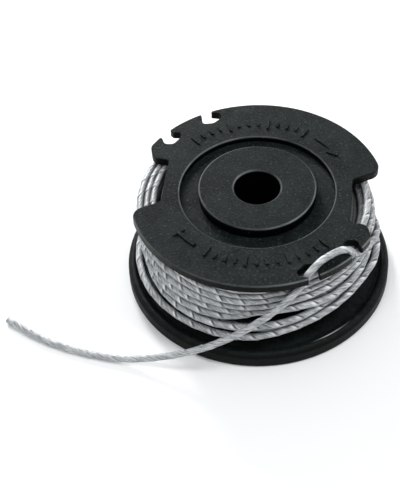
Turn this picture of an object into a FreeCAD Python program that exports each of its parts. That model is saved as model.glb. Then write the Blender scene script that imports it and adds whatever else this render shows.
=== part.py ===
import FreeCAD, Part
import math
import os

# Replacement line spool for a grass trimmer: a two-moulding plastic spool body
# with twisted nylon cutting line wound on it, the line's outer end parked
# through a pair of hook notches.  Millimetres, +Z up, origin on the spool's
# axis in the plane of the lower rim, which is the face that it stands on.

V = FreeCAD.Vector
os.makedirs("parts", exist_ok=True)

# ---------------------------------------------------------------- dimensions
R_UPPER = 29.0          # upper flange, outer radius
Z_TOP = 25.4            # upper flange, top face
T_UPPER = 1.9           # upper flange, plate thickness
EDGE_R = 0.22           # rounding along the plate's top edges
R_TROUGH = 17.7         # spring trough, outer radius
R_HUB = 13.35           # hub disc, outer radius
TROUGH_DEPTH = 1.5      # trough floor below the flange's top face
HUB_RISE = 1.1          # hub disc above the flange's top face
R_BORE = 5.3            # spindle bore
BORE_CHAMFER = 0.35
SLEEVE_R = 8.0          # hub sleeve, outer radius
SLEEVE_END_Z = 0.4      # sleeve's lower end
T_TROUGH = 1.4          # trough floor thickness

R_DRUM = 20.0           # winding drum, outer radius
T_DRUM = 1.4            # drum wall
R_LOWER = 30.9          # lower flange, outer radius of its rim
Z_RIM = 4.35            # rim's crown
Z_DISH = 3.0            # dish floor beside the winding
T_LOWER = 1.5           # lower flange thickness
R_RIM_IN = 29.4         # rim's inner top edge
SLEEVE_HOLE_R = 8.05    # hole in the lower flange round the sleeve

R_COIL = 26.65          # winding, outer radius of its even layers
R_COIL_LOW = 27.9       # winding, radius over the slack lowest turns
Z_COIL_LOW = 4.3        # winding, underside
LINE_D = 1.65           # cutting line, diameter over its twist

MARK_H = 0.35           # raised marks, height
MARK_W = 0.62           # raised marks, stroke width

N_DOGS = 8              # drive dogs under the lower flange
Z_UNDER = Z_TOP - T_UPPER
Z_FLOOR = Z_TOP - TROUGH_DEPTH
Z_HUB = Z_TOP + HUB_RISE


# ------------------------------------------------------------------- helpers
def rounded_polygon(points):
    """Closed wire through (x, y, r) corners, each rounded with its radius r."""
    n = len(points)
    tangents = []
    for i in range(n):
        p0 = V(points[i - 1][0], points[i - 1][1], 0)
        p1 = V(points[i][0], points[i][1], 0)
        p2 = V(points[(i + 1) % n][0], points[(i + 1) % n][1], 0)
        r = points[i][2]
        a = (p0 - p1).normalize()
        b = (p2 - p1).normalize()
        if r <= 0:
            tangents.append((p1, p1, None))
            continue
        half = 0.5 * math.acos(max(-1.0, min(1.0, a.dot(b))))
        cut = r / math.tan(half)
        middle = (a + b).normalize()
        mid = p1 + middle * (r / math.sin(half) - r)
        tangents.append((p1 + a * cut, p1 + b * cut, mid))
    edges = []
    for i in range(n):
        start, end, mid = tangents[i]
        if mid is not None:
            edges.append(Part.Arc(start, mid, end).toShape())
        nxt = tangents[(i + 1) % n][0]
        if (nxt - end).Length > 1e-6:
            edges.append(Part.LineSegment(end, nxt).toShape())
    return Part.Wire(edges)


def prism(wire, z0, z1):
    face = Part.Face(wire)
    face.translate(V(0, 0, z0))
    return face.extrude(V(0, 0, z1 - z0))


def ring(r_out, r_in, z0, z1):
    outer = Part.makeCylinder(r_out, z1 - z0, V(0, 0, z0))
    return outer.cut(Part.makeCylinder(r_in, z1 - z0 + 2, V(0, 0, z0 - 1)))


def half_turn(shape):
    copy = shape.copy()
    copy.rotate(V(0, 0, 0), V(0, 0, 1), 180)
    return copy


def polar(r, deg, z=0.0):
    a = math.radians(deg)
    return V(r * math.cos(a), r * math.sin(a), z)


def revolve(points):
    """Solid of revolution about Z from closed (r, z) corner points with radii."""
    n = len(points)
    tangents = []
    for i in range(n):
        p0 = V(points[i - 1][0], 0, points[i - 1][1])
        p1 = V(points[i][0], 0, points[i][1])
        p2 = V(points[(i + 1) % n][0], 0, points[(i + 1) % n][1])
        r = points[i][2]
        a = (p0 - p1).normalize()
        b = (p2 - p1).normalize()
        if r <= 0:
            tangents.append((p1, p1, None))
            continue
        half = 0.5 * math.acos(max(-1.0, min(1.0, a.dot(b))))
        cut = r / math.tan(half)
        middle = (a + b).normalize()
        mid = p1 + middle * (r / math.sin(half) - r)
        tangents.append((p1 + a * cut, p1 + b * cut, mid))
    edges = []
    for i in range(n):
        start, end, mid = tangents[i]
        if mid is not None:
            edges.append(Part.Arc(start, mid, end).toShape())
        nxt = tangents[(i + 1) % n][0]
        if (nxt - end).Length > 1e-6:
            edges.append(Part.LineSegment(end, nxt).toShape())
    face = Part.Face(Part.Wire(edges))
    return face.revolve(V(0, 0, 0), V(0, 0, 1), 360)


def edges_at(shape, places, tol=0.12):
    """Upright edges of a prism that stand at the given (x, y) places."""
    found = []
    for edge in shape.Edges:
        if len(edge.Vertexes) != 2:
            continue
        a, b = edge.Vertexes[0].Point, edge.Vertexes[1].Point
        if abs(a.z - b.z) < 0.5 or math.hypot(a.x - b.x, a.y - b.y) > 1e-4:
            continue
        for x, y in places:
            if math.hypot(a.x - x, a.y - y) < tol:
                found.append(edge)
                break
    return found


def export(name, shape):
    shape.exportStep("parts/%s.step" % name)
    print("%-20s solids %d  volume %.1f mm3  valid %s" % (
        name, len(shape.Solids), shape.Volume, shape.isValid()))


# ------------------------------------------------- upper flange: its outline
# Every cut-out comes twice, half a turn apart.  The corners below belong to
# the copy on the -X side.  A corner that lies on the flange's outer circle is
# rounded afterwards, on the solid.
def on_circle(deg):
    p = polar(R_UPPER, deg)
    return (p.x, p.y)


# large scallop that shows the winding
SCALLOP_TOP = on_circle(149.0)
SCALLOP_LOW = on_circle(191.6)
scallop = [
    (-24.15, 11.0, 2.1),
    (-20.35, 10.25, 0.9),
    (-20.95, 5.6, 12.0),
    (-21.45, 1.2, 12.0),
    (-21.72, -3.1, 1.5),
    (SCALLOP_LOW[0], SCALLOP_LOW[1], 0),
    (-33.0, -8.2, 0),
    (-33.0, 17.0, 0),
    (SCALLOP_TOP[0], SCALLOP_TOP[1], 0),
]

# first hook notch, beside the scallop
HOOK1_A = on_circle(140.7)
HOOK1_B = on_circle(135.0)
hook1 = [
    (HOOK1_A[0], HOOK1_A[1], 0),
    (-21.62, 15.75, 1.15),
    (-19.55, 15.75, 1.3),
    (-17.75, 18.2, 0.9),
    (-17.95, 19.45, 0.45),
    (-19.7, 19.55, 0.5),
    (HOOK1_B[0], HOOK1_B[1], 0),
    (-22.6, 22.6, 0),
    (-24.6, 20.2, 0),
]

# second hook notch, with its small claw
HOOK2_A = on_circle(117.0)
HOOK2_B = on_circle(111.7)
hook2 = [
    (HOOK2_A[0], HOOK2_A[1], 0),
    (-12.75, 22.55, 0.7),
    (-10.2, 22.75, 1.5),
    (-8.25, 24.75, 0.75),
    (-8.95, 26.1, 0.45),
    (-10.9, 26.4, 0.25),
    (HOOK2_B[0], HOOK2_B[1], 0),
    (-11.6, 29.0, 0),
    (-14.0, 28.6, 0),
]


def upper_flange():
    plate = Part.makeCylinder(R_UPPER, T_UPPER, V(0, 0, Z_UNDER))
    for corners in (scallop, hook1, hook2):
        tool = prism(rounded_polygon(corners), Z_UNDER - 1, Z_TOP + 1)
        plate = plate.cut(tool).cut(half_turn(tool))
    # roundings where the cut-outs meet the outer circle
    for place, r in ((SCALLOP_TOP, 2.3), (SCALLOP_LOW, 2.9), (HOOK1_A, 0.45),
                     (HOOK1_B, 0.3), (HOOK2_A, 0.3), (HOOK2_B, 0.18)):
        both = [place, (-place[0], -place[1])]
        found = edges_at(plate, both)
        if found:
            plate = plate.makeFillet(r, found)
        else:
            print("no edge at", place)
    # spring trough and hub disc
    plate = plate.cut(ring(R_TROUGH, R_HUB, Z_FLOOR, Z_TOP + 1))
    top = [e for e in plate.Edges
           if all(abs(v.Point.z - Z_TOP) < 1e-4 for v in e.Vertexes)
           and abs(e.CenterOfMass.z - Z_TOP) < 1e-3]
    top = [e for e in top if e.BoundBox.DiagonalLength > 0.02
           and not is_circle(e, R_HUB)]
    try:
        rounded = plate.makeFillet(EDGE_R, top)
        if rounded.isValid() and rounded.Volume > 0.9 * plate.Volume:
            plate = rounded
        else:
            print("edge rounding not valid")
    except Exception as problem:
        print("edge rounding:", problem)
    under = ring(R_DRUM - T_DRUM - 0.05, SLEEVE_R - 1, Z_FLOOR - T_TROUGH, Z_UNDER)
    hub = revolve([
        (R_BORE, SLEEVE_END_Z + 0.3, 0), (R_BORE + 0.3, SLEEVE_END_Z, 0),
        (SLEEVE_R, SLEEVE_END_Z, 0.5),
        (SLEEVE_R, Z_FLOOR - T_TROUGH, 0.6), (R_HUB, Z_FLOOR - T_TROUGH, 0),
        (R_HUB, Z_HUB, 0.3), (R_BORE + BORE_CHAMFER, Z_HUB, 0),
        (R_BORE, Z_HUB - BORE_CHAMFER, 0)])
    bore = Part.makeCylinder(R_BORE, 40, V(0, 0, -5))
    body = plate.fuse(under).cut(Part.makeCylinder(R_HUB - 0.01, 40, V(0, 0, -5)))
    body = body.fuse(hub).cut(bore)
    for mark in marks():
        body = body.fuse(mark)
    return body.removeSplitter()


def is_circle(edge, radius):
    curve = edge.Curve
    return hasattr(curve, "Radius") and abs(curve.Radius - radius) < 1e-3


# ---------------------------------------------- upper flange: raised marks
def marks():
    """Rewind arrow and a plain scale of raised strokes on each half."""
    out = []
    z0, z1 = Z_TOP - 0.3, Z_TOP + MARK_H
    # strokes: every fourth one long
    first, last, count = 131.0, 59.0, 13
    for i in range(count):
        deg = first + (last - first) * i / (count - 1)
        long_one = i % 4 == 0
        r0, r1 = (20.3, 23.4) if long_one else (21.2, 23.0)
        box = Part.makeBox(r1 - r0, MARK_W, z1 - z0, V(r0, -MARK_W / 2, z0))
        up = [e for e in box.Edges if abs(e.Vertexes[0].Point.z - e.Vertexes[1].Point.z) > 0.1]
        box = box.makeFillet(0.29, up)
        box.rotate(V(0, 0, 0), V(0, 0, 1), deg)
        out += [box, half_turn(box)]
    # arrow: a curved shaft and a plain triangular head, pointing clockwise
    r_mid, w = 21.7, 0.45
    shaft_wire = Part.Wire([
        Part.Arc(polar(r_mid + w, 50.5), polar(r_mid + w, 43.5), polar(r_mid + w, 36.5)).toShape(),
        Part.LineSegment(polar(r_mid + w, 36.5), polar(r_mid - w, 36.5)).toShape(),
        Part.Arc(polar(r_mid - w, 36.5), polar(r_mid - w, 43.5), polar(r_mid - w, 50.5)).toShape(),
        Part.LineSegment(polar(r_mid - w, 50.5), polar(r_mid + w, 50.5)).toShape()])
    shaft = prism(shaft_wire, z0, z1)
    a, b, c = polar(r_mid + 1.8, 37.2), polar(r_mid - 1.8, 37.2), polar(r_mid - 0.3, 29.6)
    head = prism(rounded_polygon([(a.x, a.y, 0.2), (b.x, b.y, 0.2), (c.x, c.y, 0.2)]), z0, z1)
    arrow = shaft.fuse(head).removeSplitter()
    out += [arrow, half_turn(arrow)]
    return out


# ----------------------------------------------- lower flange with the drum
def spool_core():
    r_drum_in = R_DRUM - T_DRUM
    body = revolve([
        (SLEEVE_HOLE_R, Z_DISH - T_LOWER, 0), (28.4, Z_DISH - T_LOWER, 0.8),
        (29.2, 0, 0), (R_LOWER - 0.35, 0, 0), (R_LOWER, 0.35, 0.3),
        (R_LOWER, 3.1, 1.2), (R_RIM_IN + 0.1, Z_RIM + 0.25, 0.9),
        (28.9, 3.35, 0.5), (27.9, Z_DISH - 0.15, 1.0), (R_DRUM, Z_DISH + 0.2, 0.6),
        (R_DRUM, Z_UNDER, 0), (r_drum_in, Z_UNDER, 0),
        (r_drum_in, Z_DISH, 0.8), (SLEEVE_HOLE_R, Z_DISH, 0)])
    z0, z1 = SLEEVE_END_Z, Z_DISH - T_LOWER + 0.2
    body = body.fuse(ring(9.6, SLEEVE_HOLE_R, z0, z1))
    dogs = []
    for i in range(N_DOGS):
        deg = 360.0 * i / N_DOGS
        p, q = polar(9.4, deg - 5), polar(16.6, deg - 9)
        s, t = polar(16.6, deg + 3), polar(9.4, deg + 6)
        wire = rounded_polygon([(p.x, p.y, 0.3), (q.x, q.y, 0.6), (s.x, s.y, 0.6), (t.x, t.y, 0.3)])
        dogs.append(prism(wire, z0, z1))
    body = body.fuse(dogs)
    return body.removeSplitter()


# ------------------------------------------------------- wound cutting line
def line_winding():
    return revolve([
        (R_DRUM, Z_COIL_LOW, 0), (26.4, Z_COIL_LOW, 1.0), (R_COIL_LOW, 5.9, 1.4),
        (R_COIL_LOW, 9.0, 1.6), (R_COIL, 12.2, 2.5), (R_COIL, 21.0, 2.0),
        (25.3, Z_UNDER - 0.05, 0.8), (R_DRUM, Z_UNDER - 0.05, 0)])


# --------------------------------------- free stretch of the line, its route
# From the winding's right-hand side up through the first hook notch, over
# the flange's edge, down through the second notch, out under the flange and
# down to the surface that the spool stands on.
LOOP_ROUTE = [
    V(27.5, -1.6, 14.9), V(27.1, -5.3, 16.6), V(26.2, -9.0, 18.5),
    V(24.9, -12.6, 20.6), V(23.3, -15.5, 22.1), V(21.2, -17.3, 22.7),
    V(20.3, -18.1, 24.5), V(18.9, -19.1, 26.5), V(16.7, -19.8, 27.0),
    V(14.4, -21.4, 27.0), V(12.2, -23.6, 26.6), V(10.6, -25.0, 24.8),
    V(10.15, -25.2, 22.8)]
TAIL_ROUTE = [
    V(7.0, -27.8, 20.2), V(3.5, -29.4, 17.7),
    V(0.0, -30.4, 15.2), V(-4.0, -31.1, 12.5), V(-8.6, -31.5, 9.7),
    V(-13.7, -31.4, 6.9), V(-19.4, -30.8, 4.3), V(-25.4, -29.9, 2.1),
    V(-31.6, -29.1, 0.95), V(-38.0, -27.6, 0.83), V(-44.6, -25.5, 0.83),
    V(-52.1, -21.8, 0.83), V(-58.3, -17.2, 0.83)]


def tube_edges(points):
    """Straight runs joined by tangent arcs, as large as the runs allow."""
    runs = [(points[i + 1] - points[i]).Length for i in range(len(points) - 1)]
    edges, radii = [], []
    start = points[0]
    for i in range(1, len(points) - 1):
        a = (points[i - 1] - points[i]).normalize()
        b = (points[i + 1] - points[i]).normalize()
        turn = math.pi - math.acos(max(-1.0, min(1.0, a.dot(b))))
        cut = 0.45 * min(runs[i - 1], runs[i])
        radius = cut / math.tan(turn / 2)
        radii.append((round(math.degrees(turn), 1), round(radius, 2)))
        p, q = points[i] + a * cut, points[i] + b * cut
        middle = (a + b).normalize()
        mid = points[i] + middle * (radius / math.cos(turn / 2) - radius)
        edges.append(Part.LineSegment(start, p).toShape())
        edges.append(Part.Arc(p, mid, q).toShape())
        start = q
    edges.append(Part.LineSegment(start, points[-1]).toShape())
    return edges, radii, runs


def tube(name, points, radius):
    edges, radii, runs = tube_edges(points)
    path = Part.Wire(edges)
    along = (points[1] - points[0]).normalize()
    section = Part.Wire([Part.makeCircle(radius, points[0], along)])
    solid = path.makePipeShell([section], True, False)
    print(name, "length %.2f" % path.Length, "runs", [round(r, 1) for r in runs])
    print("  turn, arc radius:", radii)
    print("  volume %.2f against section x length %.2f" % (
        solid.Volume, math.pi * radius ** 2 * path.Length))
    return solid


def main():
    export("upper_flange", upper_flange())
    export("spool_core", spool_core())
    export("line_winding", line_winding())
    # the two tubes meet on one straight run under the notch
    meet = LOOP_ROUTE[-1] * 0.58 + TAIL_ROUTE[0] * 0.42
    export("line_parked_loop", tube("line_parked_loop", LOOP_ROUTE + [meet], LINE_D / 2))
    export("line_free_end", tube("line_free_end", [meet] + TAIL_ROUTE, LINE_D / 2))


main()
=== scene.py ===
import math

import bpy
import numpy as np
from mathutils import Matrix, Vector, kdtree


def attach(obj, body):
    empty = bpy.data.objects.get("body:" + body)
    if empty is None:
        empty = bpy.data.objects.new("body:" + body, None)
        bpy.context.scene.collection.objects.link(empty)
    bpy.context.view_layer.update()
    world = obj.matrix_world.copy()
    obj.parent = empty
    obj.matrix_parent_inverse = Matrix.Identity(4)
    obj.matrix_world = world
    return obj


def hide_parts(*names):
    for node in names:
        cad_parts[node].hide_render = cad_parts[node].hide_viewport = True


# Replacement line spool of a grass trimmer: black moulded body, grey twisted
# nylon line.  Metres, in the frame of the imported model.

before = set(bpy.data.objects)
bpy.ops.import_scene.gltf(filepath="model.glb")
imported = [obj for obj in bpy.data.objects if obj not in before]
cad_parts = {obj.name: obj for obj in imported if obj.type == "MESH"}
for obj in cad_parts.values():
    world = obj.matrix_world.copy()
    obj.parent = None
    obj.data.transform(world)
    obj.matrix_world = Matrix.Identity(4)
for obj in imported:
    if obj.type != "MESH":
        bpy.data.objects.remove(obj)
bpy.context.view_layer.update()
scene = bpy.context.scene
MM = 0.001


# ------------------------------------------------------------------- camera
CAM_PLACE = (0.0, -224.046016 * MM, 250.812106 * MM)
CAM_YAW, CAM_PITCH, CAM_ROLL = -0.061229, 0.829794, -0.055981


def make_camera():
    f = Vector((math.sin(CAM_YAW) * math.cos(CAM_PITCH),
                math.cos(CAM_YAW) * math.cos(CAM_PITCH),
                -math.sin(CAM_PITCH)))
    r = f.cross(Vector((0, 0, 1))).normalized()
    u = r.cross(f)
    c, s = math.cos(CAM_ROLL), math.sin(CAM_ROLL)
    right, up = c * r + s * u, -s * r + c * u
    data = bpy.data.cameras.new("view_camera")
    data.lens, data.sensor_width, data.sensor_fit = 100.8, 36.0, "AUTO"
    data.clip_start, data.clip_end = 0.01, 20.0
    cam = bpy.data.objects.new("view_camera", data)
    scene.collection.objects.link(cam)
    back = -f
    cam.matrix_world = Matrix((
        (right.x, up.x, back.x, CAM_PLACE[0]),
        (right.y, up.y, back.y, CAM_PLACE[1]),
        (right.z, up.z, back.z, CAM_PLACE[2]),
        (0, 0, 0, 1)))
    scene.camera = cam


make_camera()


# -------------------------------------------------------------- cutting line
# One length: wound on the drum in five layers, clockwise seen from above, then
# the loop through the two hook notches and the free tail.  The angle phi runs
# with the line and is 360 degrees minus the azimuth, so phi 10 is the spool's
# right-hand side, 90 its front, 180 its left and 270 its back.

def hidden_rows():
    """(phi, radius, z) of the four layers under the outer one, in mm.  A row is
    (radius, z, how far it's drawn in at the front right, and in and down at the right)."""
    rng = np.random.default_rng(5)
    layers = [
        [(20.85, z, 0, 0, 0) for z in (19.9, 18.2, 16.5, 14.9, 13.2, 11.5, 9.8, 8.1)],
        [(22.2, 4.4, 0, 0, 0), (22.3, 10.8, 0.6, 0, 0), (22.3, 12.5, 0.9, 0, 0),
         (22.3, 14.2, 0.9, 0, 0), (22.2, 15.9, 0.7, 0, 0), (22.0, 17.6, 0.5, 0, 0), (21.6, 19.6, 0.4, 0, 0)],
        [(21.35, 22.4, 0.2, 0.2, 0), (23.7, 20.6, 0.9, 1.1, 1.2), (23.8, 18.6, 0.9, 0.9, 0.6),
         (23.8, 16.5, 0.9, 0.7, 0.3), (23.8, 14.6, 1.1, 0, 0), (23.8, 12.4, 1.4, 0, 0), (23.8, 5.2, 0.3, 0, 0)],
        [(25.3, 7.3, 0.4, 0, 0), (25.25, 13.0, 1.8, 0, 0), (25.25, 14.9, 1.3, 0, 0),
         (25.3, 16.9, 0.9, 0.2, 0.2), (25.3, 18.9, 0.9, 0.5, 0.7), (25.0, 20.8, 0.8, 0.8, 0.3), (23.75, 22.45, 0.6, 2.6, 0.1)],
    ]
    out, turn = [], 0
    for layer in layers:
        for radius, z, inward, right, down in layer:
            # level across the front, stepping to the next row round the back
            for phi in ((-35, -15) if turn else ()) + (0, 22, 45, 90, 135, 180):
                side = max(0.0, math.cos(math.radians(phi - 20)))
                beside = max(0.0, math.cos(math.radians(1.6 * ((phi + 12 + 180) % 360 - 180)))) if abs((phi + 12 + 180) % 360 - 180) < 56 else 0.0
                out.append((360 * turn + phi,
                            radius - inward * side - right * beside + rng.normal(0, 0.05),
                            z - down * beside + rng.normal(0, 0.10)))
            turn += 1
    return out, turn


# outer layer: rows from the top down, each (azimuth, radius, z)
ROWS = [
    [(360, 25.0, 22.55), (350, 25.0, 22.55), (335, 25.1, 22.5), (320, 25.4, 22.5), (305, 25.9, 22.5),
     (290, 26.3, 22.4), (280, 26.6, 22.1), (270, 26.75, 21.7), (262, 26.8, 21.55),
     (250, 26.85, 21.75), (240, 26.55, 22.15), (230, 25.9, 22.5), (220, 25.5, 22.6),
     (205, 25.3, 22.55), (180, 25.2, 22.3), (165, 25.2, 22.3), (120, 25.3, 22.0),
     (60, 25.5, 21.5), (15, 25.65, 21.0)],
    [(350, 25.8, 21.0), (320, 26.2, 20.9), (290, 26.5, 20.85), (280, 26.6, 20.45),
     (270, 26.7, 19.9), (262, 26.8, 19.6), (250, 26.9, 20.05), (240, 26.9, 20.45),
     (230, 26.9, 21.4), (220, 26.85, 21.9), (195, 26.8, 22.2), (165, 26.8, 22.1),
     (120, 26.6, 21.0), (60, 26.3, 20.0), (15, 26.1, 19.4)],
    [(350, 26.15, 19.2), (320, 26.35, 19.15), (300, 26.4, 19.1), (290, 26.5, 19.2),
     (283, 26.6, 18.9), (270, 26.75, 18.0), (262, 26.8, 17.65), (250, 26.9, 18.0),
     (240, 26.95, 18.3), (230, 26.95, 19.0), (220, 26.9, 19.15), (205, 26.9, 18.9),
     (180, 26.85, 18.9), (150, 26.8, 18.6), (90, 26.6, 18.0), (30, 26.3, 17.6),
     (10, 26.15, 17.4)],
    [(355, 26.15, 16.9), (350, 26.2, 16.8), (320, 26.4, 16.6), (300, 26.5, 16.85), (285, 26.6, 17.0),
     (275, 26.7, 16.5), (270, 26.75, 16.15), (262, 26.8, 15.85), (250, 26.9, 16.1),
     (240, 26.95, 16.1), (225, 26.95, 16.35), (210, 26.9, 16.3), (180, 26.9, 16.3),
     (150, 26.9, 16.2), (90, 26.8, 16.0), (30, 26.3, 15.8), (10, 25.95, 15.7)],
    [(357, 25.7, 15.5), (350, 26.1, 15.1), (340, 26.5, 14.8), (327, 27.0, 14.1), (320, 27.1, 13.8),
     (305, 27.3, 13.75), (295, 27.15, 14.35), (285, 27.0, 14.85), (277, 26.85, 14.85),
     (270, 26.8, 14.5), (262, 26.8, 14.25), (250, 26.9, 14.2), (235, 26.95, 14.25),
     (215, 26.95, 14.05), (180, 26.9, 14.0), (150, 26.8, 14.1), (90, 26.4, 14.3),
     (40, 25.6, 14.5), (10, 24.9, 14.3)],
    [(350, 25.1, 13.5), (320, 25.4, 13.6), (300, 25.6, 13.8), (285, 25.3, 13.9),
     (277, 25.2, 13.9), (272, 25.3, 13.6), (267, 25.7, 12.7), (262, 26.2, 11.8), (250, 26.9, 11.8),
     (240, 26.95, 11.4), (230, 27.0, 11.35), (220, 26.9, 11.6), (205, 26.6, 12.1),
     (180, 26.4, 12.2), (150, 26.4, 12.4), (90, 26.0, 12.6), (40, 25.3, 12.7),
     (10, 24.8, 12.6)],
    [(350, 25.9, 12.1), (335, 26.0, 12.0), (320, 26.05, 11.9), (310, 26.4, 12.2),
     (305, 26.6, 12.15), (300, 26.9, 11.95), (295, 27.1, 11.7), (285, 27.35, 10.85),
     (275, 27.4, 10.2), (262, 27.4, 9.6), (250, 27.4, 9.3), (240, 27.4, 9.15), (235, 27.4, 9.3),
     (230, 27.35, 9.5), (220, 27.15, 9.75), (212, 26.85, 10.05), (205, 26.45, 10.4), (195, 26.15, 10.4),
     (180, 26.3, 10.4), (165, 26.7, 10.4), (120, 27.0, 10.6), (90, 27.0, 10.7), (60, 26.9, 10.8),
     (45, 26.8, 10.8), (30, 26.5, 11.0), (10, 26.25, 11.7)],
    [(363, 26.4, 12.2), (357, 26.9, 12.9), (350, 27.8, 14.0), (345, 28.15, 13.8),
     (340, 28.4, 13.2), (334, 28.3, 12.9), (327, 28.0, 12.6), (320, 27.75, 12.0),
     (313, 27.8, 11.2), (305, 27.7, 10.5), (297, 27.65, 9.8), (288, 27.6, 9.0),
     (279, 27.6, 8.1), (270, 27.7, 6.9), (260, 27.65, 6.35), (250, 27.6, 6.2),
     (244, 27.45, 6.05), (239, 27.3, 5.95), (234, 27.3, 5.75), (227, 27.4, 5.55),
     (220, 27.5, 5.6), (210, 27.8, 5.85), (200, 27.9, 5.65), (190, 28.0, 5.5),
     (180, 28.25, 5.4), (165, 28.3, 5.5), (150, 28.3, 5.8), (130, 28.3, 6.4),
     (110, 28.35, 7.4), (90, 28.5, 8.5), (70, 28.7, 9.8), (55, 28.6, 10.8),
     (45, 28.3, 11.6), (35, 27.7, 12.3), (25, 26.8, 12.9), (15, 26.35, 13.35),
     (8, 26.3, 13.7), (3, 26.6, 14.1)],
]

LOOP_ROUTE = [
    (27.5, -1.6, 14.9), (27.1, -5.3, 16.6), (26.2, -9.0, 18.5),
    (24.9, -12.6, 20.6), (23.4, -15.4, 22.1), (21.3, -17.3, 22.7),
    (20.4, -18.3, 24.5), (19.0, -19.3, 26.35), (16.8, -20.2, 26.4),
    (14.5, -21.8, 26.45), (12.3, -23.9, 26.1), (10.6, -25.1, 24.7),
    (10.15, -25.2, 22.8)]
TAIL_ROUTE = [
    (7.0, -27.8, 20.2), (3.5, -29.4, 17.7),
    (0.0, -30.4, 15.2), (-4.0, -31.1, 12.5), (-8.6, -31.5, 9.7),
    (-13.7, -31.4, 6.9), (-19.4, -30.8, 4.3), (-25.4, -29.9, 2.1),
    (-31.6, -29.1, 1.0), (-38.0, -27.6, 0.875), (-44.6, -25.5, 0.875),
    (-52.1, -21.8, 0.875), (-58.3, -17.2, 0.875)]

hidden, FIRST_ROW = hidden_rows()
stations = hidden + [
    (360 * (FIRST_ROW + i) + (360 - az), r, z)
    for i, row in enumerate(ROWS) for az, r, z in row]
stations.sort()
LAST_PHI = 360 * (FIRST_ROW + 8)


def coil_points():
    """Control points of the turns: 16 a turn inside, 30 in the outer layer."""
    at = np.array(stations)
    rng = np.random.default_rng(23)
    inner = np.arange(0.0, 360 * FIRST_ROW - 300, 22.5)
    outer = np.arange(inner[-1] + 12.0, LAST_PHI - 4.0, 12.0)
    out = []
    for phis, step in ((inner, 22.5), (outer, 12.0)):
        grow = 1 / (0.75 + 0.25 * math.cos(math.radians(step)))
        for phi in phis:
            r = np.interp(phi, at[:, 0], at[:, 1]) * grow + (rng.normal(0, 0.045) if step == 12.0 else 0.0)
            z = np.interp(phi, at[:, 0], at[:, 2]) + (rng.normal(0, 0.075) if step == 12.0 else 0.0)
            a = math.radians(-phi)
            out.append((r * math.cos(a) * MM, r * math.sin(a) * MM, z * MM))
    return out, (len(inner), len(out))


def line_of(points):
    """The points along the smooth line that has these control points."""
    curve = bpy.data.curves.new("line_route", "CURVE")
    curve.dimensions = "3D"
    curve.resolution_u = 16
    spline = curve.splines.new("NURBS")
    spline.points.add(len(points) - 1)
    for p, co in zip(spline.points, points):
        p.co = (*co, 1.0)
    spline.order_u = 3
    spline.use_endpoint_u = True
    holder = bpy.data.objects.new("line_route", curve)
    mesh = bpy.data.meshes.new_from_object(holder)
    line = np.array([v.co for v in mesh.vertices], float)
    bpy.data.meshes.remove(mesh)
    bpy.data.objects.remove(holder)
    bpy.data.curves.remove(curve)
    return line


# section of the line: a drop that grows round to a lip beside one groove, and
# turns along the line as a screw
SECTION = [(0, 0.67), (17, 0.765), (38, 0.772), (68, 0.78), (102, 0.79), (136, 0.80),
           (170, 0.81), (205, 0.82), (240, 0.833), (275, 0.846), (308, 0.858), (332, 0.868), (347, 0.79)]
# GROOVE: how deep each point of the groove is cut, and how much painted shade its colour gets
GROOVE = {0: 1.0, 1: 0.85, 12: 0.6}
# how much painted highlight each section point at the lip gets
LIP_HIGHLIGHT = {9: 0.15, 10: 0.75, 11: 1.0, 12: 0.2}
TWIST_PITCH = 4.9 * MM


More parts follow.
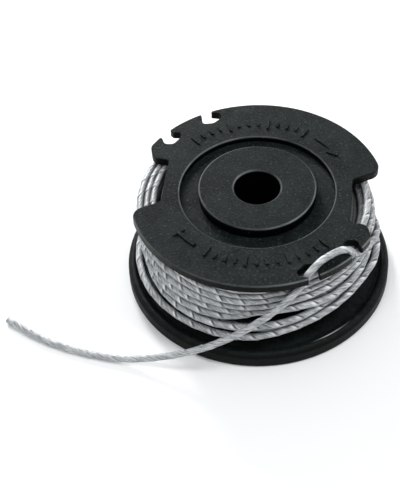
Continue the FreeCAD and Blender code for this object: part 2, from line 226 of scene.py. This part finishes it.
def line_mesh():
    turns, (n_inner, n_coil) = coil_points()
    route = turns + [tuple(c * MM for c in p) for p in LOOP_ROUTE + TAIL_ROUTE]
    line = line_of(route)
    along = np.concatenate([[0], np.cumsum(np.linalg.norm(np.diff(line, axis=0), axis=1))])
    total = along[-1]
    # ring spacing: coarse where the line is buried, fine where it shows
    share = len(line) / len(route)
    s_fine = along[min(len(line) - 1, int(n_inner * share))]
    s_mid = s_fine * 0.74
    ticks, s = [0.0], 0.0
    while s < total - 0.2 * MM:
        step = 2.6 if s < s_mid else 1.0 if s < s_fine else 0.33
        s += step * MM
        ticks.append(s)
    ticks = np.array([t for t in ticks if t < total - 0.1 * MM] + [total])
    centre = np.stack([np.interp(ticks, along, line[:, k]) for k in range(3)], axis=1)
    tangent = np.gradient(centre, axis=0)
    tangent /= np.linalg.norm(tangent, axis=1)[:, None]
    n = len(centre)
    normal = np.zeros((n, 3))
    first = np.cross(tangent[0], (0, 0, 1.0))
    normal[0] = first / np.linalg.norm(first)
    for i in range(1, n):
        v = normal[i - 1] - tangent[i] * (normal[i - 1] @ tangent[i])
        normal[i] = v / np.linalg.norm(v)
    binormal = np.cross(tangent, normal)
    rate = np.clip((ticks - s_mid) / (20 * MM), 0, 1)
    twist = np.concatenate([[0], np.cumsum(np.diff(ticks) * rate[1:])]) * 2 * math.pi / TWIST_PITCH
    m = len(SECTION)
    ang = np.radians([a for a, _ in SECTION])
    rad = np.array([r for _, r in SECTION]) * MM
    # the twist isn't perfectly even along the line
    wave = 0.35 * np.sin(ticks / (37 * MM)) + 0.25 * np.sin(ticks / (11.3 * MM) + 1.0)
    turn = twist + wave * rate
    # the groove is sharp and painted dark, a painted shade, where the line is free to open,
    #     # outward and upward, and pressed shut below and inward; along the free tail it's only a faint mark
    out = centre.copy()
    out[:, 2] = 0
    out /= np.linalg.norm(out, axis=1)[:, None]
    facing = 0.62 * out + np.array([0, 0, 0.78])
    loose = np.clip((ticks - (total - 120 * MM)) / (12 * MM), 0, 1)[:, None]
    facing = facing * (1 - loose) + np.array([0.0, 0.55, 0.83]) * loose
    facing /= np.linalg.norm(facing, axis=1)[:, None]
    rng = np.random.default_rng(11)
    each = rng.uniform(0.55, 1.25, int(turn[-1] / (2 * math.pi)) + 3)
    strong = np.interp(turn / (2 * math.pi), np.arange(len(each)), each)
    tail = np.clip((ticks - (total - 84 * MM)) / (8 * MM), 0, 1)
    strong = strong * (1 - 0.62 * tail)
    highlight_strong = strong * (1 + 0.4 * tail)
    verts = np.zeros((n, m, 3))
    painted_groove_shade, painted_highlight = np.zeros((n, m)), np.zeros((n, m))
    side = np.zeros((n, m, 2))
    for j in range(m):
        a = ang[j] + turn
        way = np.cos(a)[:, None] * normal + np.sin(a)[:, None] * binormal
        seen = np.clip(((way * facing).sum(axis=1) - 0.62) / 0.28, 0, 1)
        seen = seen * seen * (3 - 2 * seen)
        r = rad[j]
        if j in GROOVE:
            shut = 0.80 * MM
            r = shut + (rad[j] - shut) * np.clip(0.25 + 0.9 * seen * strong, 0, 1.1)
        verts[:, j] = centre + (np.ones(n) * r)[:, None] * way
        painted_groove_shade[:, j] = GROOVE.get(j, 0.0) * np.clip(1.3 * seen * strong, 0, 1)
        # a painted highlight on the lip where it faces outward and upward
        peak = np.clip(((way * facing).sum(axis=1) - 0.79) / 0.14, 0, 1)
        painted_highlight[:, j] = LIP_HIGHLIGHT.get(j, 0.0) * np.clip(peak * highlight_strong, 0, 1)
        b = ang[j] + 0.5 * turn
        side[:, j, 0], side[:, j, 1] = np.cos(b), np.sin(b)
    faces = []
    for i in range(n - 1):
        for j in range(m):
            k = (j + 1) % m
            faces.append((i * m + j, i * m + k, (i + 1) * m + k, (i + 1) * m + j))
    faces.append(tuple(range(m - 1, -1, -1)))
    faces.append(tuple((n - 1) * m + j for j in range(m)))
    mesh = bpy.data.meshes.new("cutting_line")
    mesh.from_pydata(verts.reshape(-1, 3).tolist(), [], faces)
    mesh.polygons.foreach_set("use_smooth", [True] * (len(faces) - 2) + [False] * 2)
    # where another turn lies against the line the colour is darkened: a painted shade between the turns
    tree = kdtree.KDTree(2 * n)
    posts = [i for i in range(n) if i == 0 or int(ticks[i] / (0.5 * MM)) != int(ticks[i - 1] / (0.5 * MM))]
    for i in posts:
        tree.insert(centre[i], i)
    tree.balance()
    painted_shade = np.zeros((n, m))
    posts_at = np.arange(0, total + 3 * MM, 2.5 * MM)
    uneven = np.interp(ticks, posts_at, rng.normal(0, 0.11, len(posts_at))) * MM
    for i in range(int(np.searchsorted(ticks, s_fine)), n):
        for j in range(m):
            for _, k, gap in tree.find_n(verts[i, j], 12):
                if abs(ticks[k] - ticks[i]) > 15 * MM:
                    painted_shade[i, j] = min(1.0, max(0.0, (1.46 * MM + uneven[i] - gap) / (0.34 * MM)))
                    break
    # and deep in the winding the colour is darkened too: a painted shade
    reach = np.linalg.norm(verts[:, :, :2], axis=2)
    painted_shade = np.maximum(painted_shade, np.clip((23.6 * MM - reach) / (0.8 * MM), 0, 1))
    painted_highlight *= (1 - painted_shade) * rate[:, None]
    for name, data in (("groove", painted_groove_shade), ("painted_shade", painted_shade), ("lip", painted_highlight), ("side_a", side[:, :, 0]), ("side_b", side[:, :, 1]),
                       ("along", np.repeat(ticks[:, None] / MM, m, axis=1))):
        layer = mesh.attributes.new(name, "FLOAT", "POINT")
        layer.data.foreach_set("value", np.ascontiguousarray(data).reshape(-1).astype(np.float32))
    mesh.update()
    return mesh, centre, total, line[0]


mesh, line_path, line_length, line_start = line_mesh()
cutting_line = bpy.data.objects.new("cutting_line", mesh)
scene.collection.objects.link(cutting_line)
print("line length %.3f m, triangles %d" % (line_length, 2 * len(mesh.polygons)))
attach(cutting_line, "root")
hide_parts("line_winding", "line_parked_loop", "line_free_end")


# ----------------------------------------------------------------- materials
def new_material(name):
    mat = bpy.data.materials.new(name)
    mat.use_nodes = True
    tree = mat.node_tree
    tree.nodes.clear()
    out = tree.nodes.new("ShaderNodeOutputMaterial")
    shader = tree.nodes.new("ShaderNodeBsdfPrincipled")
    tree.links.new(shader.outputs["BSDF"], out.inputs["Surface"])
    coord = tree.nodes.new("ShaderNodeTexCoord")
    return mat, tree, shader, coord


def noise(tree, coord, scale, detail=2.0, rough=0.5):
    node = tree.nodes.new("ShaderNodeTexNoise")
    node.inputs["Scale"].default_value = scale
    node.inputs["Detail"].default_value = detail
    node.inputs["Roughness"].default_value = rough
    tree.links.new(coord.outputs["Object"], node.inputs["Vector"])
    return node


def ramp(tree, source, stops):
    node = tree.nodes.new("ShaderNodeValToRGB")
    els = node.color_ramp.elements
    while len(els) < len(stops):
        els.new(0.5)
    for el, (place, colour) in zip(els, stops):
        el.position = place
        el.color = (*colour, 1.0) if not isinstance(colour, float) else (colour,) * 3 + (1.0,)
    tree.links.new(source, node.inputs["Fac"])
    return node


def maths(tree, operation, a, b=None, clamp=False):
    node = tree.nodes.new("ShaderNodeMath")
    node.operation = operation
    node.use_clamp = clamp
    for i, x in enumerate((a, b)):
        if x is None:
            continue
        if isinstance(x, (int, float)):
            node.inputs[i].default_value = x
        else:
            tree.links.new(x, node.inputs[i])
    return node.outputs[0]


def near(tree, value, centre, width):
    """1 where value is at the centre, falling to 0 a width away from it."""
    off = maths(tree, "ABSOLUTE", maths(tree, "SUBTRACT", value, centre))
    return maths(tree, "SUBTRACT", 1.0, maths(tree, "DIVIDE", off, width), clamp=True)


def spark_plastic(name, dark, light, rough, grain, depth, level, glint, edge_highlight, rims=()):
    """Black moulded plastic with the fine grain of a spark-eroded mould.  Its round
    edges, given as (radius, height) in mm, are rubbed smooth and carry a paler
    painted highlight, all the way round or only within a reach of a point (x, y)."""
    mat, tree, shader, coord = new_material(name)
    cloud = noise(tree, coord, 210.0, 3.0, 0.6)
    fine = noise(tree, coord, grain, 4.0, 0.85)
    mixed = maths(tree, "ADD", maths(tree, "MULTIPLY", fine.outputs["Fac"], 0.72),
                  maths(tree, "MULTIPLY", cloud.outputs["Fac"], 0.28))
    colour = ramp(tree, mixed, [(0.42, dark), (0.59, light)])
    gloss = ramp(tree, mixed, [(0.36, float(rough + 0.10)), (0.66, float(rough - 0.10))])
    paint, sheen = colour.outputs["Color"], gloss.outputs["Color"]
    if glint:
        # single grains that stand out
        spot = noise(tree, coord, 1700.0, 1.0, 0.5)
        grains = tree.nodes.new("ShaderNodeMix")
        grains.data_type = "RGBA"
        tree.links.new(ramp(tree, spot.outputs["Fac"], [(0.60, 0.0), (0.72, 1.0)]).outputs["Color"], grains.inputs["Factor"])
        tree.links.new(paint, grains.inputs["A"])
        grains.inputs["B"].default_value = (*(glint * c for c in light), 1.0)
        paint = grains.outputs["Result"]
    # only the faces that look up show the grain's colour: the side faces and the underside are painted near
    # black, a painted shade
    upright = tree.nodes.new("ShaderNodeSeparateXYZ")
    tree.links.new(coord.outputs["Normal"], upright.inputs[0])
    wall_shade_mask = maths(tree, "SUBTRACT", 1.0, maths(tree, "DIVIDE", maths(tree, "SUBTRACT", upright.outputs["Z"], 0.45), 0.4, clamp=True))
    wall_shade = tree.nodes.new("ShaderNodeMix")
    wall_shade.data_type = "RGBA"
    tree.links.new(wall_shade_mask, wall_shade.inputs["Factor"])
    tree.links.new(paint, wall_shade.inputs["A"])
    wall_shade.inputs["B"].default_value = (*(0.35 * c for c in dark), 1.0)
    paint = wall_shade.outputs["Result"]
    if rims:
        xyz = tree.nodes.new("ShaderNodeSeparateXYZ")
        tree.links.new(coord.outputs["Object"], xyz.inputs[0])
        r2 = maths(tree, "ADD", maths(tree, "POWER", xyz.outputs["X"], 2.0),
                   maths(tree, "POWER", xyz.outputs["Y"], 2.0))
        radius = maths(tree, "SQRT", r2)
        polish_and_highlight = None
        for r, z, *patch in rims:
            here = maths(tree, "MULTIPLY", near(tree, radius, r * MM, 0.29 * MM),
                         near(tree, xyz.outputs["Z"], z * MM, 0.45 * MM))
            if patch:
                x, y, reach = patch
                here = maths(tree, "MULTIPLY", here, maths(
                    tree, "MULTIPLY", near(tree, xyz.outputs["X"], x * MM, reach * MM),
                    near(tree, xyz.outputs["Y"], y * MM, reach * MM)))
            polish_and_highlight = here if polish_and_highlight is None else maths(tree, "MAXIMUM", polish_and_highlight, here)
        patchy = noise(tree, coord, 260.0, 2.0, 0.6)
        polish_and_highlight = maths(tree, "MULTIPLY", maths(tree, "MULTIPLY", polish_and_highlight, 1.6, clamp=True),
                     maths(tree, "MULTIPLY", patchy.outputs["Fac"], 1.35, clamp=True))
        # the painted highlight and the polish are strongest at the back left and the front right, where the lamps
        # catch the edges
        across = maths(tree, "ADD", maths(tree, "MULTIPLY", xyz.outputs["X"], -0.866),
                       maths(tree, "MULTIPLY", xyz.outputs["Y"], 0.5))
        across = maths(tree, "POWER", maths(tree, "DIVIDE", across, radius), 2.0)
        polish_and_highlight = maths(tree, "MULTIPLY", polish_and_highlight, maths(tree, "ADD", maths(tree, "MULTIPLY", across, 0.85), 0.25), clamp=True)
        # painted highlight: the rubbed edges get a paler colour
        mix = tree.nodes.new("ShaderNodeMix")
        mix.data_type = "RGBA"
        tree.links.new(polish_and_highlight, mix.inputs["Factor"])
        tree.links.new(paint, mix.inputs["A"])
        mix.inputs["B"].default_value = (0.92 * edge_highlight, edge_highlight, 0.99 * edge_highlight, 1.0)
        paint = mix.outputs["Result"]
        smooth = tree.nodes.new("ShaderNodeMix")
        smooth.data_type = "RGBA"
        tree.links.new(polish_and_highlight, smooth.inputs["Factor"])
        tree.links.new(sheen, smooth.inputs["A"])
        smooth.inputs["B"].default_value = (0.26, 0.26, 0.26, 1.0)
        sheen = smooth.outputs["Result"]
    # a little dust
    dust = tree.nodes.new("ShaderNodeTexVoronoi")
    dust.inputs["Scale"].default_value = 420.0
    tree.links.new(coord.outputs["Object"], dust.inputs["Vector"])
    rare = noise(tree, coord, 330.0, 0.0, 0.5)
    speck = maths(tree, "MULTIPLY", maths(tree, "LESS_THAN", dust.outputs["Distance"], 0.055),
                  maths(tree, "GREATER_THAN", rare.outputs["Fac"], 0.56))
    dusty = tree.nodes.new("ShaderNodeMix")
    dusty.data_type = "RGBA"
    tree.links.new(maths(tree, "MULTIPLY", speck, 0.55), dusty.inputs["Factor"])
    tree.links.new(paint, dusty.inputs["A"])
    dusty.inputs["B"].default_value = (0.14, 0.145, 0.14, 1.0)
    tree.links.new(dusty.outputs["Result"], shader.inputs["Base Color"])
    tree.links.new(sheen, shader.inputs["Roughness"])
    shader.inputs["IOR"].default_value = 1.5
    shader.inputs["Specular IOR Level"].default_value = level
    bump = tree.nodes.new("ShaderNodeBump")
    bump.inputs["Strength"].default_value = 1.0
    bump.inputs["Distance"].default_value = depth
    tree.links.new(fine.outputs["Fac"], bump.inputs["Height"])
    tree.links.new(bump.outputs["Normal"], shader.inputs["Normal"])
    return mat


def nylon(name):
    """Grey twisted nylon: soft sheen, drawn streaks along it, painted shade in the groove and between the turns,
    painted highlight on the lip.
    """
    mat, tree, shader, coord = new_material(name)

    def read(layer):
        node = tree.nodes.new("ShaderNodeAttribute")
        node.attribute_name = layer
        return node.outputs["Fac"]

    def streaks(length, width, detail, rough):
        """Noise drawn out along the line: mm along it, parts of its radius across."""
        place = tree.nodes.new("ShaderNodeCombineXYZ")
        tree.links.new(maths(tree, "DIVIDE", read("along"), length), place.inputs["X"])
        tree.links.new(maths(tree, "DIVIDE", read("side_a"), width), place.inputs["Y"])
        tree.links.new(maths(tree, "DIVIDE", read("side_b"), width), place.inputs["Z"])
        node = tree.nodes.new("ShaderNodeTexNoise")
        node.inputs["Scale"].default_value = 1.0
        node.inputs["Detail"].default_value = detail
        node.inputs["Roughness"].default_value = rough
        tree.links.new(place.outputs[0], node.inputs["Vector"])
        return node.outputs["Fac"]

    def blend(factor, a, b):
        node = tree.nodes.new("ShaderNodeMix")
        node.data_type = "RGBA"
        tree.links.new(factor, node.inputs["Factor"])
        tree.links.new(a, node.inputs["A"])
        node.inputs["B"].default_value = (*b, 1.0)
        return node.outputs["Result"]

    long, short = streaks(2.6, 0.42, 2.0, 0.55), streaks(0.8, 0.30, 1.0, 0.5)
    mixed = maths(tree, "ADD", maths(tree, "MULTIPLY", long, 0.7), maths(tree, "MULTIPLY", short, 0.3))
    paint = ramp(tree, mixed, [(0.36, (0.165, 0.172, 0.179)), (0.50, (0.365, 0.378, 0.388)),
                               (0.64, (0.59, 0.605, 0.62))]).outputs["Color"]
    # painted shade between the turns and deep in the winding
    paint = blend(maths(tree, "MULTIPLY", read("painted_shade"), 0.92), paint, (0.035, 0.037, 0.04))
    # painted shade in the groove
    paint = blend(read("groove"), paint, (0.03, 0.032, 0.035))
    # painted highlight on the lip
    paint = blend(read("lip"), paint, (0.92, 0.93, 0.94))
    tree.links.new(paint, shader.inputs["Base Color"])
    gloss = ramp(tree, mixed, [(0.35, 0.46), (0.66, 0.28)])
    tree.links.new(gloss.outputs["Color"], shader.inputs["Roughness"])
    shader.inputs["IOR"].default_value = 1.53
    bump = tree.nodes.new("ShaderNodeBump")
    bump.inputs["Strength"].default_value = 1.0
    bump.inputs["Distance"].default_value = 0.00007
    tree.links.new(mixed, bump.inputs["Height"])
    tree.links.new(bump.outputs["Normal"], shader.inputs["Normal"])
    return mat


def put(obj, mat):
    obj.data.materials.clear()
    obj.data.materials.append(mat)


upper_mat = spark_plastic("upper_plastic", (0.0003, 0.0011, 0.0010), (0.0105, 0.0152, 0.0145), 0.36, 2000.0, 0.00024, 0.078, 2.4, 0.20,
                          rims=((28.95, 25.35), (17.75, 25.35), (13.25, 26.45), (5.45, 26.4)))
# on the core, a stretch of the rim's inner edge at the front right gets a bright painted highlight
core_mat = spark_plastic("core_plastic", (0.0026, 0.0038, 0.0038), (0.0105, 0.0132, 0.0132), 0.48, 1500.0, 0.00010, 0.08, 0.0, 0.85,
                         rims=((29.38, 3.85, 16.4, -24.4, 4.8),))
line_mat = nylon("cutting_line")
put(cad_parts["upper_flange"], upper_mat)
put(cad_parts["spool_core"], core_mat)
cutting_line.data.materials.append(line_mat)


# ------------------------------------------------------------ floor and light
def floor():
    half = 2.5
    mesh = bpy.data.meshes.new("floor")
    mesh.from_pydata([(-half, -half, 0), (half, -half, 0), (half, half, 0), (-half, half, 0)], [], [(0, 1, 2, 3)])
    obj = bpy.data.objects.new("floor", mesh)
    scene.collection.objects.link(obj)
    obj.location.z = -0.00005
    mat, tree, shader, coord = new_material("floor")
    shader.inputs["Base Color"].default_value = (0.9, 0.9, 0.9, 1.0)
    shader.inputs["Roughness"].default_value = 0.9
    mesh.materials.append(mat)


def area(name, place, target, size, energy, colour=(1, 1, 1)):
    data = bpy.data.lights.new(name, "AREA")
    data.shape = "DISK"
    data.size = size
    data.energy = energy
    data.color = colour
    obj = bpy.data.objects.new(name, data)
    scene.collection.objects.link(obj)
    obj.location = place
    obj.rotation_mode = "QUATERNION"
    obj.rotation_quaternion = (Vector(target) - Vector(place)).to_track_quat("-Z", "Y")


def studio_sky(base, glow, towards, power):
    """Soft surrounding light: a low level all round, brighter one way."""
    world = bpy.data.worlds.new("studio")
    world.use_nodes = True
    tree = world.node_tree
    back = tree.nodes["Background"]
    coord = tree.nodes.new("ShaderNodeTexCoord")
    dot = tree.nodes.new("ShaderNodeVectorMath")
    dot.operation = "DOT_PRODUCT"
    dot.inputs[1].default_value = Vector(towards).normalized()
    tree.links.new(coord.outputs["Generated"], dot.inputs[0])
    clip = tree.nodes.new("ShaderNodeMath")
    clip.operation = "MAXIMUM"
    clip.inputs[1].default_value = 0.0
    tree.links.new(dot.outputs["Value"], clip.inputs[0])
    curve = tree.nodes.new("ShaderNodeMath")
    curve.operation = "POWER"
    curve.inputs[1].default_value = power
    tree.links.new(clip.outputs[0], curve.inputs[0])
    total = tree.nodes.new("ShaderNodeMath")
    total.operation = "MULTIPLY_ADD"
    total.inputs[1].default_value = glow
    total.inputs[2].default_value = base
    tree.links.new(curve.outputs[0], total.inputs[0])
    tree.links.new(total.outputs[0], back.inputs["Strength"])
    back.inputs["Color"].default_value = (0.95, 0.985, 1.0, 1.0)
    scene.world = world


floor()
area("right_light", (0.363, -0.097, 0.706), (0, 0, 0.01), 0.2, 2.4)
area("side_light", (0.50, -0.16, 0.30), (0, 0, 0.01), 0.3, 0.15)
area("left_light", (-0.24, -0.28, 0.50), (0, 0, 0.01), 0.22, 0.7)
area("back_light", (-0.14, 0.36, 0.22), (0, 0, 0.01), 0.16, 1.8)
studio_sky(0.60, 0.1, (-0.3, 0.6, 0.75), 2.0)
scene.view_settings.view_transform = "Standard"
scene.view_settings.look = "None"
